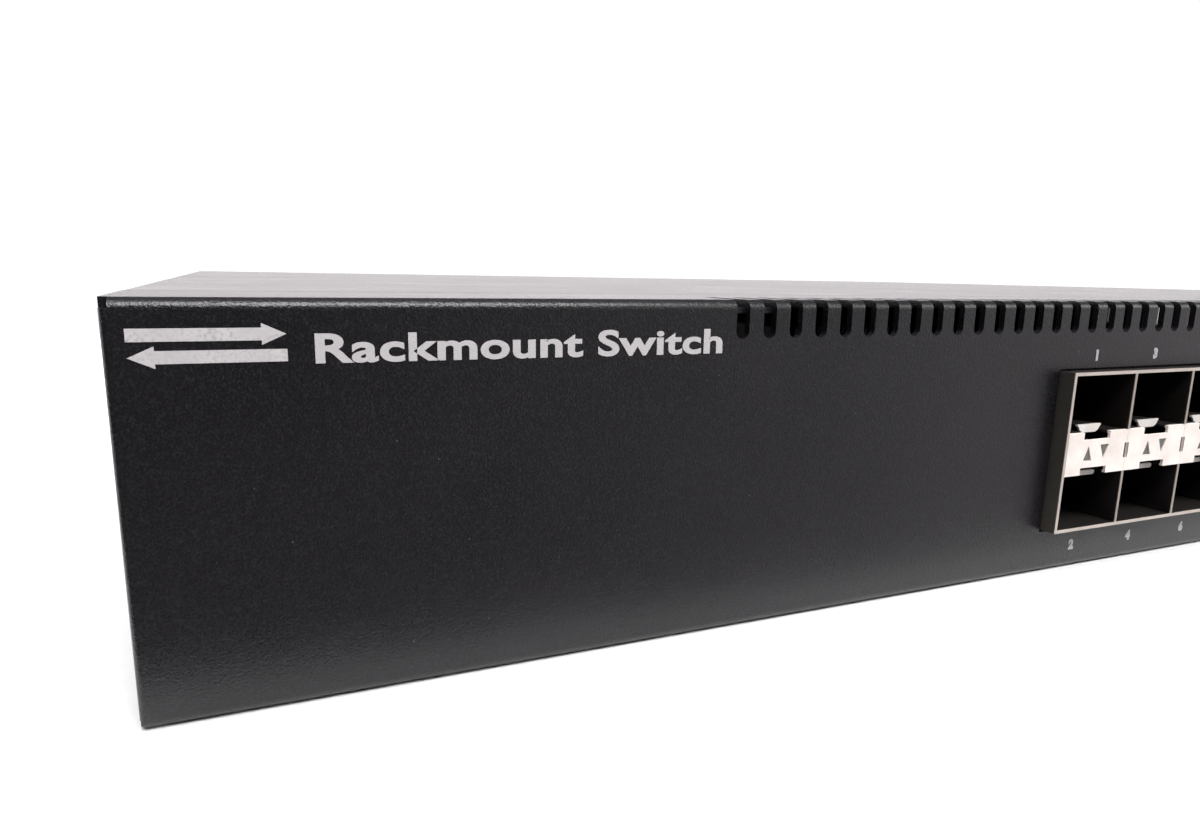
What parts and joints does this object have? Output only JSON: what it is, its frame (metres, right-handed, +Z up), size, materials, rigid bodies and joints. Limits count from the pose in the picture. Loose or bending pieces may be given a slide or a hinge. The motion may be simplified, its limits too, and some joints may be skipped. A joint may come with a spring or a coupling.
{
  "type": "rackmount network switch",
  "caption": "One-unit rackmount network switch: flat sheet-metal case, front rows of pluggable-module and copper ports, slotted top edge, rear inlet, fan grilles and blank expansion bays.",
  "frame": {"origin": "bottom centre of the whole object's box, on the surface it rests on", "axes": "+X to the right seen from the front, +Y from the port side to the rear, +Z up"},
  "size_m": [0.44, 0.3984, 0.0432],
  "materials": {
    "chassis_paint": "fine-textured satin black powder coat with a faint sparkle",
    "zinc_sheet": "dull zinc-plated sheet",
    "nickel_sheet": "bright nickel-plated spring sheet",
    "bright_nickel": "bright nickel plate, almost white where it faces the light",
    "screw_black": "black oxide screws",
    "screw_steel": "nickel-plated steel",
    "knob_steel": "knurled nickel-plated knob",
    "clear_plastic": "clear light guide, unlit and grey",
    "connector_black": "black glass-filled plastic",
    "gold_contact": "gold-flashed contact",
    "tinned_steel": "tinned steel shield",
    "smoked_window": "smoked red-black window",
    "display_face": "dark display face",
    "white_plastic": "white insulator",
    "button_plastic": "grey plunger",
    "board_green": "green solder mask",
    "chip_black": "moulded package",
    "heat_sink": "anodised extrusion",
    "capacitor": "sleeved can",
    "ferrite": "ferrite and tape",
    "battery_steel": "nickel steel can",
    "lead_sleeve": "red lead sleeve",
    "fan_plastic": "black fan plastic",
    "brass_nickel": "nickel-plated brass blades"
  },
  "bodies": {
    "chassis": {"base_pan": "chassis_paint", "front_panel": "chassis_paint", "top_cover": "chassis_paint", "rear_panel": "chassis_paint", "cover_screws": "screw_black", "board_standoffs": "screw_steel", "board_screws": "screw_steel", "fan_screws": "screw_black", "ground_screw": "screw_steel", "sfp_cage_left": "nickel_sheet", "sfp_cage_right": "nickel_sheet", "sfp_dividers": "nickel_sheet", "sfp_centre_plates": "bright_nickel", "sfp_latch_springs": "bright_nickel", "sfp_light_pipes": "clear_plastic", "sfp_host_connectors": "connector_black", "sfp_emi_springs": "nickel_sheet", "copper_jack_housing": "connector_black", "copper_jack_shield": "tinned_steel", "copper_jack_contacts": "gold_contact", "status_light_pipes": "clear_plastic", "stack_display": "display_face", "display_window": "smoked_window", "usb_shell": "tinned_steel", "usb_tongue": "white_plastic", "reset_switch": "connector_black", "main_board": "board_green", "switch_chip": "chip_black", "switch_heat_sink": "heat_sink", "processor": "chip_black", "processor_heat_sink": "heat_sink", "board_chips": "chip_black", "board_capacitors": "capacitor", "coin_cell": "battery_steel", "module_connectors": "connector_black", "psu_frame": "zinc_sheet", "psu_board": "board_green", "psu_transformer": "ferrite", "psu_heat_sinks": "heat_sink", "psu_capacitors": "capacitor", "power_harness": "lead_sleeve", "ac_inlet": "connector_black", "ac_inlet_pins": "brass_nickel", "redundant_power_socket": "connector_black", "management_jack": "tinned_steel", "console_port": "tinned_steel", "fan_left_frame": "fan_plastic", "fan_right_frame": "fan_plastic", "psu_fan_frame": "fan_plastic", "bay_guides": "zinc_sheet"},
    "fan_left_rotor": {"fan_left_rotor": "fan_plastic"},
    "fan_right_rotor": {"fan_right_rotor": "fan_plastic"},
    "psu_fan_rotor": {"psu_fan_rotor": "fan_plastic"},
    "reset_plunger": {"reset_button": "button_plastic"},
    "blank_left": {"bay_blank_left": "chassis_paint"},
    "blank_right": {"bay_blank_right": "chassis_paint"},
    "captive_screw_left_a": {"thumbscrew_left_a": "knob_steel"},
    "captive_screw_left_b": {"thumbscrew_left_b": "knob_steel"},
    "captive_screw_right_a": {"thumbscrew_right_a": "knob_steel"},
    "captive_screw_right_b": {"thumbscrew_right_b": "knob_steel"}
  },
  "joints": [
    {"name": "reset_press", "type": "slide", "parent": "chassis", "child": "reset_plunger", "axis": [0, 1, 0], "range_m": [0, 0.0006], "stiffness_N_per_m": 1500, "springref_m": -0.0004},
    {"name": "fan_left_spin", "type": "hinge", "parent": "chassis", "child": "fan_left_rotor", "pos_m": [-0.074, 0.1732, 0.0216], "axis": [0, 1, 0], "continuous": true},
    {"name": "fan_right_spin", "type": "hinge", "parent": "chassis", "child": "fan_right_rotor", "pos_m": [-0.031, 0.1732, 0.0216], "axis": [0, 1, 0], "continuous": true},
    {"name": "psu_fan_spin", "type": "hinge", "parent": "chassis", "child": "psu_fan_rotor", "pos_m": [-0.15, 0.1732, 0.0216], "axis": [0, 1, 0], "continuous": true},
    {"name": "blank_left_withdraw", "type": "slide", "parent": "chassis", "child": "blank_left", "axis": [0, 1, 0], "range_m": [0, 0.04]},
    {"name": "blank_right_withdraw", "type": "slide", "parent": "chassis", "child": "blank_right", "axis": [0, 1, 0], "range_m": [0, 0.04]},
    {"name": "captive_screw_left_a_turn", "type": "hinge", "parent": "blank_left", "child": "captive_screw_left_a", "pos_m": [0.051, 0.1932, 0.0216], "axis": [0, 1, 0], "continuous": true},
    {"name": "captive_screw_left_b_turn", "type": "hinge", "parent": "blank_left", "child": "captive_screw_left_b", "pos_m": [0.124, 0.1932, 0.0216], "axis": [0, 1, 0], "continuous": true},
    {"name": "captive_screw_right_a_turn", "type": "hinge", "parent": "blank_right", "child": "captive_screw_right_a", "pos_m": [0.136, 0.1932, 0.0216], "axis": [0, 1, 0], "continuous": true},
    {"name": "captive_screw_right_b_turn", "type": "hinge", "parent": "blank_right", "child": "captive_screw_right_b", "pos_m": [0.209, 0.1932, 0.0216], "axis": [0, 1, 0], "continuous": true}
  ]
}
